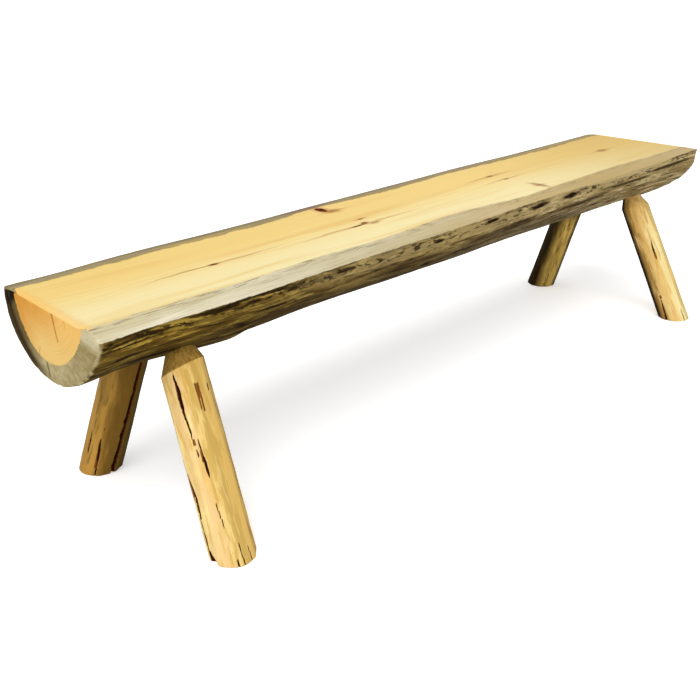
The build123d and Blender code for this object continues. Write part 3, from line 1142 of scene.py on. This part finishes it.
def seat_wood():
    """The seat log's finish: planed heartwood, greyed bevels, stained bark side, sawn ends."""
    shader = Shader("seat_wood_finish")
    wood = shader.stored("wood", "Vector")
    x, y, z = wood.parts()
    from_edge, under, from_tip, sawn = map(shader.stored, ("rim", "under", "tip", "sawn"))
    turn = math_node("ARCTAN2", z, y)
    skin = joined(x, turn * log_turn_length)
    back = y.step(0.0, 0.05)

    top, knots = seat_top_colour(wood, x, y, z, from_tip)
    band = band_colour(wood, x, back, from_edge)
    bark, bark_height = bark_colour(skin, x, under, shader.stored("plates"))
    end, end_height = end_colour(wood, y, z, turn, shader.stored("inner"))

    ragged = wood.noise((0.03, 0.0035, 0.0035), 4.0, 0.6)
    wander = wood.noise((0.07, 0.3, 0.3), 5.0, 0.7) - 0.47
    # The back bevel is narrower beside the large knot.
    beside = abs(x - back_knot_x).step(0.11, 0.02)
    edge = from_edge - 0.0085 + ragged * 0.016
    edge = edge + (wander * 0.026 + beside * 0.014 + 0.001) * back
    # Towards the right end the bevel runs further down and fades into the bark.
    torn = skin.noise((0.02, 0.004, 1.0), 4.0, 0.6)
    further = x.step(0.36, 0.54) * x.step(0.8, 0.68)
    lower = under - 0.0035 - further * 0.028 + torn * (further * 0.03 + 0.007)
    on_bark = lower.step(-0.0007, 0.0009)
    tone = blend(on_bark, blend(edge.step(-0.004, 0.0028), band, top), bark)
    # The greyed rim, where the drawknife ran off over the ends.
    frayed = wood.noise((0.03, 0.012, 0.012), 4.0, 0.6)
    on_rim = (from_tip - frayed * 0.013).step(0.0, -0.0065) * on_bark
    rim_tone = blend(frayed.step(0.4, 0.6), colour(150, 132, 88), colour(190, 174, 130))
    tone = blend(sawn, blend(on_rim, tone, rim_tone), end)

    fibres = wood.noise((0.12, 0.0016, 0.0016), 3.0)
    bark_share = on_bark * (1.0 - sawn)
    height = blend(sawn, blend(bark_share, fibres * 0.12, bark_height), end_height)
    dull = larger(larger(bark_share, sawn), knots)
    return shader.finished({
        "Base Color": tone,
        "Roughness": dull * 0.5 + 0.42,
        "Specular IOR Level": wood_shine,
        "Normal": relief(height, 0.0016),
    })


def seat_top_colour(wood, x, y, z, from_tip):
    """Planed, lacquered heartwood: growth lines along the seat, knots and resin marks."""
    wander = wood.noise((0.55, 0.09, 0.09), 2.0)
    line = math_node("FRACT", wander * 7.0 + distance(y, z) / log_ring_gap).step(0.45, 0.97)
    fibres = wood.noise((0.3, 0.0022, 0.0022), 5.0, 0.6)
    broad = wood.noise((0.6, 0.045, 0.045), 3.0)
    tone = painted(
        blend(y.step(0.06, -0.11), colour(250, 217, 130), colour(255, 240, 180)),
        (broad.step(0.46, 0.8), 242, 202, 114),
        (line * 0.15, 226, 180, 94),
        (fibres.step(0.52, 0.75) * 0.26, 230, 184, 98),
        (x.step(0.12, 0.95) * 0.75, 216, 178, 88),
        (from_tip.step(0.022, 0.0) * 0.6, 246, 190, 98),
    )
    knots = 0.0
    for knot in seat_knots:
        tone, core = add_knot(tone, wood, x, y, knot)
        knots = larger(knots, core)
    return tone, knots


def add_knot(tone, wood, x, y, knot):
    """One knot or resin mark, with the brown streak that trails both ways from it."""
    along = x - knot.x
    across = y - knot.y
    off = (along / knot.half_length) ** 2 + (across / knot.half_width) ** 2
    off = off - 0.8 + wood.noise((0.012, 0.006, 0.006), 3.0) * 1.6
    core = off.step(1.0, 0.45) * knot.strength
    if knot.trail > 0:
        fade = abs(along / knot.trail).step(1.0, 0.1)
        bend = wood.noise((0.1, 0.05, 0.05), 2.0)
        thin = abs(across / trail_half_width + bend * 3.0 - 1.5)
        fibres = wood.noise((0.06, 0.002, 0.002), 3.0)
        sharp = thin.step(0.4, 0.1) * fade * fibres.step(0.4, 0.6)
        soft = thin.step(1.0, 0.0) * fade
        tone = painted(tone, (soft * 0.8, 206, 156, 84), (sharp * 0.55, 150, 104, 50))
    tone = painted(tone, (off.step(3.2, 0.6) * (0.55 * knot.strength), 190, 112, 44))
    heart = wood.noise((0.008, 0.008, 0.008), 3.0).step(0.46, 0.62)
    return blend(core, tone, blend(heart, colour(44, 10, 4), colour(122, 44, 24))), core


def band_colour(wood, x, back, from_edge):
    """The long bevels: greyed sapwood with fine dark strokes along their inner edges."""
    fibres = wood.noise((0.1, 0.003, 0.003), 5.0, 0.62)
    broad = wood.noise((0.25, 0.03, 0.03), 3.0)
    strokes = wood.noise((0.04, 0.002, 0.002), 4.0, 0.65)
    # The end grain of the large knot crosses onto the back bevel.
    beside = abs(x - back_knot_x).step(0.085, 0.015) * back
    return painted(
        blend(broad.step(0.35, 0.65), colour(240, 231, 203), colour(216, 204, 165)),
        (x.step(-0.86, 0.5) * 0.9, 194, 166, 104),
        (x.step(-0.8, -0.45) * x.step(0.05, -0.3) * 0.35, 190, 180, 142),
        (back * 0.9, 140, 118, 58),
        (back * broad.step(0.52, 0.6) * 0.55, 190, 160, 62),
        (back * from_edge.step(-0.026, -0.04) * 0.7, 104, 88, 48),
        (beside * 0.6, 112, 66, 40),
        (fibres.step(0.45, 0.72) * 0.5, 160, 146, 106),
        (strokes.step(0.5, 0.62) * from_edge.step(-0.02, -0.003) * 0.8, 126, 112, 76),
    )


def bark_colour(skin, x, under, plates):
    """The peeled side: brown inner bark and stain in streaks, with rows of dark chip marks."""
    def grain(length, height, shift, detail=4.0, bend=0.25):
        return skin.noise((length, height, 1.0), detail, 0.6, bend, shift)

    fine = grain(0.03, 0.0045, (0, 0, 0), 5.0, 0.5)
    streaks = grain(0.13, 0.017, (3.1, 0.7, 0), 4.0, 0.5)
    lines = grain(0.34, 0.0062, (8.2, 2.1, 0), 3.0)
    pale = grain(0.085, 0.0105, (1.7, 5.2, 0), 5.0, 0.5)
    broad = grain(0.22, 0.045, (0, 9.1, 0), 2.0)
    chips = grain(0.021, 0.009, (0, 0, 0), 3.0, 0.6)
    runs = grain(0.14, 0.03, (0.4, 0, 0), 2.0)
    far = (broad * 0.6 + x).step(-0.02, 0.7)

    light = blend(far, colour(168, 142, 78), colour(206, 184, 132))
    deep = blend(far, colour(122, 96, 45), colour(156, 132, 84))
    dark = blend(far, colour(34, 21, 6), colour(68, 48, 21))
    bright = blend(far, colour(190, 162, 92), colour(228, 208, 156))
    plate_tone = blend(far, colour(62, 42, 14), colour(112, 88, 46))
    tone = blend(broad.step(0.4, 0.6), light, deep)
    for share, coat in (
        (streaks.step(0.48, 0.56) * 0.9, deep),
        (plates * (0.4 - far * 0.2), plate_tone),
        (pale.step(0.53, 0.62) * 0.85, bright),
        (streaks.step(0.57, 0.63) * 0.9, dark),
        (lines.step(0.58, 0.63) * 0.85, dark),
        (fine.step(0.56, 0.66) * 0.75, dark),
    ):
        tone = blend(share, tone, coat)
    upper = under.step(0.046, 0.022) * x.step(-0.6, -0.35, 0.0, 0.45)
    tone = painted(tone, (upper, 204, 180, 122))
    # Painted shade on the lower bark side, which faces down, weaker towards the right end.
    low = (streaks * 0.06 + under).step(0.056, 0.118) * x.step(0.35, 0.75, 1.0, 0.4)
    tone = blend(low, tone, (0.38, 0.38, 0.42, 1.0), "MULTIPLY")
    tone = blend(x.step(-0.3, -0.75), tone, (1.0, 0.95, 0.55, 1.0), "MULTIPLY")

    row = under.step(0.036, 0.016) * under.step(0.001, 0.006)
    spread = under.step(0.07, 0.04) * 0.5
    chips = chips.step(0.51, 0.57) * larger(row, spread) * runs.step(0.38, 0.52)
    lip = (under - fine * 0.026).step(-0.005, -0.01) * runs.step(0.42, 0.58, 0.1, 0.65)
    tone = painted(tone, (chips * 0.85, 34, 21, 8), (lip, 36, 23, 7))
    for patch in bark_patches:
        off = ((x - patch.x) / patch.half_length) ** 2 + ((under - patch.under) / patch.half_width) ** 2
        off = off - 2.0 + fine * 4.0
        around = off.step(2.3, 1.0) * (0.6 * patch.strength)
        middle = off.step(1.2, 0.6) * patch.strength
        tone = painted(tone, (around, 92, 68, 32), (middle, 32, 18, 6))
    return tone, fine * -0.5 - streaks * 0.7 - chips * 0.35


def line_mark(y, z, start, end, half_width):
    """1 on a thin line between two places on the sawn face, fading out across it."""
    run_y, run_z = end[0] - start[0], end[1] - start[1]
    length = run_y**2 + run_z**2
    off_y = y - start[0]
    off_z = z - start[1]
    share = larger(off_y * (run_y / length) + off_z * (run_z / length), 0.0)
    share = math_node("MINIMUM", share, 1.0)
    off = distance(off_y - share * run_y, off_z - share * run_z)
    return (off + share * (0.6 * half_width) - half_width).step(0.0026, -0.0014)


def end_colour(wood, y, z, turn, inner):
    """The sawn ends: honey heartwood in faint rings, then the greyed, hewn ring round it."""
    place = joined(turn, distance(y, z))
    patches = place.noise((0.5, 0.03, 1.0), 3.0)
    rings = place.noise((0.9, 0.0022, 1.0), 3.0, 0.6)
    face = painted(
        blend(y.step(0.03, -0.07), colour(224, 160, 72), colour(244, 194, 108)),
        (z.step(-0.045, -0.115), 238, 200, 122),
        (y.step(0.02, 0.1) * 0.7, 212, 144, 50),
        (patches.step(0.4, 0.7) * 0.3, 236, 186, 104),
        (rings.step(0.5, 0.7) * 0.22, 196, 134, 58),
        *((line_mark(y, z, *line[:3]) * line[3], 172, 108, 44) for line in face_lines),
    )

    rays = place.noise((0.022, 0.03, 1.0), 4.0, 0.62)
    shade = place.noise((0.3, 0.04, 1.0), 2.0)
    mottle = wood.noise((0.012, 0.012, 0.012), 4.0, 0.6)
    ragged = place.noise((0.05, 0.02, 1.0), 4.0, 0.6)
    rays = rays * 0.55 + mottle * 0.45
    outer = rays * 0.02 + inner
    # Round the ring by the angle from the pith: the front corner, the front, and the shaded back.
    ring = painted(
        blend(rays.step(0.38, 0.62), colour(204, 188, 144), colour(164, 148, 102)),
        (shade.step(0.45, 0.7) * 0.4, 142, 124, 76),
        (turn.step(-1.5, -0.85) * 0.92, 94, 78, 38),
        (turn.step(-1.9, -2.4, 0.0, 0.4) * turn.step(-2.75, -2.6), 128, 108, 58),
        (turn.step(-2.58, -2.76, 0.0, 0.6), 216, 206, 172),
        (turn.step(-1.75, -1.05) * outer.step(-0.001, -0.022), 54, 38, 14),
        # A thin painted shadow line along the ring's outer edge.
        (outer.step(-0.0245, -0.03) * 0.4, 84, 70, 40),
        (turn.step(-0.5, -0.4) * shade.step(0.35, 0.45), 24, 14, 5),
    )
    edge = ragged * 0.01 + inner - 0.005
    tone = blend(edge.step(-0.0007, 0.0007), ring, face)
    return painted(tone, (line_mark(y, z, *ring_split), 40, 24, 8)), rays * 0.35


def leg_wood(name):
    """A peeled pole's finish: stain in smears, painted shade on its dark sides and under the seat."""
    shader = Shader("leg_wood_" + name)
    light, deep, stain_and_shade, hewn_light, hewn_deep = (colour(*tone) for tone in leg_tones[name])
    wood = shader.stored("wood", "Vector")
    x, y, z = wood.parts()
    turn = math_node("ARCTAN2", y, x)
    skin = joined(turn * pole_turn_length, z)
    broad = wood.noise((0.03, 0.03, 0.2), 3.0)
    streaks = wood.noise((0.0045, 0.0045, 0.16), 5.0, 0.6)
    fibres = wood.noise((0.0013, 0.0013, 0.05), 3.0, 0.6)
    tone = blend(broad.step(0.36, 0.66), light, deep)
    tone = blend(streaks.step(0.48, 0.75) * 0.5, tone, deep)
    tone = painted(tone, (fibres.step(0.55, 0.75) * 0.22, 150, 98, 44))
    # Brown smears, most of them under the seat, where the extra ones are painted shade.
    smear = wood.noise((0.0075, 0.0075, 0.055), 4.0, 0.6, 0.4, (4.0, 0, 0))
    smear = smear + z.step(0.2, 0.36, 0.0, 0.14)
    tone = blend(smear.step(0.56, 0.68) * 0.75, tone, stain_and_shade)
    # Painted shadow under the seat, in the stain's tone, as strong as each leg's share.
    tone = blend((broad * 0.08 + z).step(0.25, 0.36, 0.0, leg_under_seat_shade[name]), tone, stain_and_shade)
    hewn = (fibres * 0.4 + streaks * 0.6).step(0.42, 0.58)
    tone = blend(shader.stored("hewn"), tone, blend(hewn, hewn_light, hewn_deep))
    # Painted shade on the sides away from the light and along the edges the camera sees,
    # with some patches of the wood's own tone.
    uneven = wood.noise((0.01, 0.01, 0.06), 4.0)
    shade_and_patches = 0.0
    for shade in leg_shades[name]:
        facing = math_node("COSINE", turn - math.radians(shade.angle))
        facing = facing + uneven * shade.ragged - 0.5 * shade.ragged
        start, full = (math.cos(math.radians(shade.reach * share)) for share in (1, 0.35))
        share = facing.step(start, full) * shade.strength
        tone = blend(share, tone, colour(*shade.tone), "DARKEN")
        shade_and_patches = larger(shade_and_patches, share)

    specks = skin.noise((0.0024, 0.011, 1.0), 2.0)
    ragged = skin.noise((0.0016, 0.01, 1.0), 3.0, 0.6)
    strip = (ragged * 0.9 + shader.stored("strip") - 0.45).step(0.42, 0.6)
    strip_tone = blend(fibres.step(0.4, 0.65), colour(154, 98, 42), colour(100, 54, 20))
    crack = ragged * 0.8 + shader.stored("crack") - 0.4
    open_crack = crack.step(0.42, 0.62)
    tone = painted(tone, (specks.step(0.7, 0.76) * 0.55, 116, 66, 26))
    tone = blend(strip, tone, strip_tone)
    tone = painted(tone, (crack.step(0.24, 0.48), 124, 74, 28), (open_crack, 54, 22, 7))

    # The sawn foot: growth rings about the pith.
    wander = wood.noise((0.03, 0.03, 0.03), 2.0)
    ring = math_node("FRACT", wander * 2.0 + distance(x, y) / pole_ring_gap)
    dirt = wood.noise((0.012, 0.012, 0.012), 4.0)
    sawn = painted(
        blend(ring.step(0.35, 0.95), colour(232, 194, 126), colour(184, 132, 70)),
        (dirt.step(0.45, 0.7) * 0.35, 130, 100, 62),
    )
    dull = larger(larger(open_crack, strip), shade_and_patches)
    return shader.finished({
        "Base Color": blend(shader.stored("foot").step(0.2, 0.8), tone, sawn),
        "Roughness": dull * 0.34 + 0.6,
        "Specular IOR Level": wood_shine,
        "Normal": relief(fibres * 0.35 + streaks * 0.5, 0.0009),
    })


def bored_wood():
    """Raw wood inside the bored holes, with fine marks round them from the bit."""
    shader = Shader("bored_wood_finish")
    wood = shader.stored("wood", "Vector")
    fibres = wood.noise((0.03, 0.0012, 0.0012), 4.0, 0.6)
    torn = wood.noise((0.004, 0.004, 0.0008), 3.0)
    tone = blend(fibres.step(0.4, 0.65), colour(232, 194, 124), colour(186, 140, 78))
    return shader.finished({
        "Base Color": painted(tone, (torn.step(0.5, 0.7) * 0.4, 150, 106, 54)),
        "Roughness": 0.85,
        "Specular IOR Level": 0.12,
        "Normal": relief(torn, 0.0004),
    })


def screw_steel():
    """Yellow-passivated zinc plating, duller and darker in the recess."""
    shader = Shader("screw_steel_finish")
    place = shader.source("ShaderNodeTexCoord", "Object")
    cloud = place.noise((0.004, 0.004, 0.004), 4.0, 0.6)
    grit = place.noise((0.0005, 0.0005, 0.0005), 3.0)
    tone = painted(
        blend(cloud.step(0.35, 0.65), colour(214, 200, 166), colour(188, 164, 112)),
        (grit.step(0.58, 0.7) * 0.35, 120, 104, 76),
        (shader.stored("recess") * 0.55, 96, 84, 64),
    )
    return shader.finished({
        "Base Color": tone,
        "Metallic": 1.0,
        "Roughness": cloud.step(0.3, 0.7, 0.28, 0.5),
        "Normal": relief(grit, 0.0001),
    })


# ======== the four legs ========

def random_checks(rng, count, from_angle, to_angle):
    """Small checks on the sides of a pole that the picture doesn't show."""
    made = []
    for _ in range(count):
        low = rng.uniform(0.0, 0.3)
        middle = rng.uniform(from_angle, to_angle)
        lean = rng.uniform(-4, 4)
        width = rng.uniform(0.0008, 0.002)
        made.append(Check(low, middle, low + rng.uniform(0.04, 0.14), middle + lean, width, 0.003))
    return made


def build_legs():
    """All four legs, with a few more checks at random on the sides that don't show."""
    rng = np.random.default_rng(11)
    for number, name in enumerate(leg_names):
        material = leg_wood(name)
        checks = leg_checks[name] + random_checks(rng, count=7, from_angle=0, to_angle=150)
        build_leg(name, checks, material, 40 + number)


# ======== the whole bench ========

bpy.context.scene.view_settings.view_transform = "Standard"
make_camera()
make_light()
make_floor()
seat = build_seat(seat_wood())
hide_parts("seat_log")
bore_holes(seat, bored_wood())
build_legs()
steel = screw_steel()
for name in leg_names:
    build_screw(name, steel)
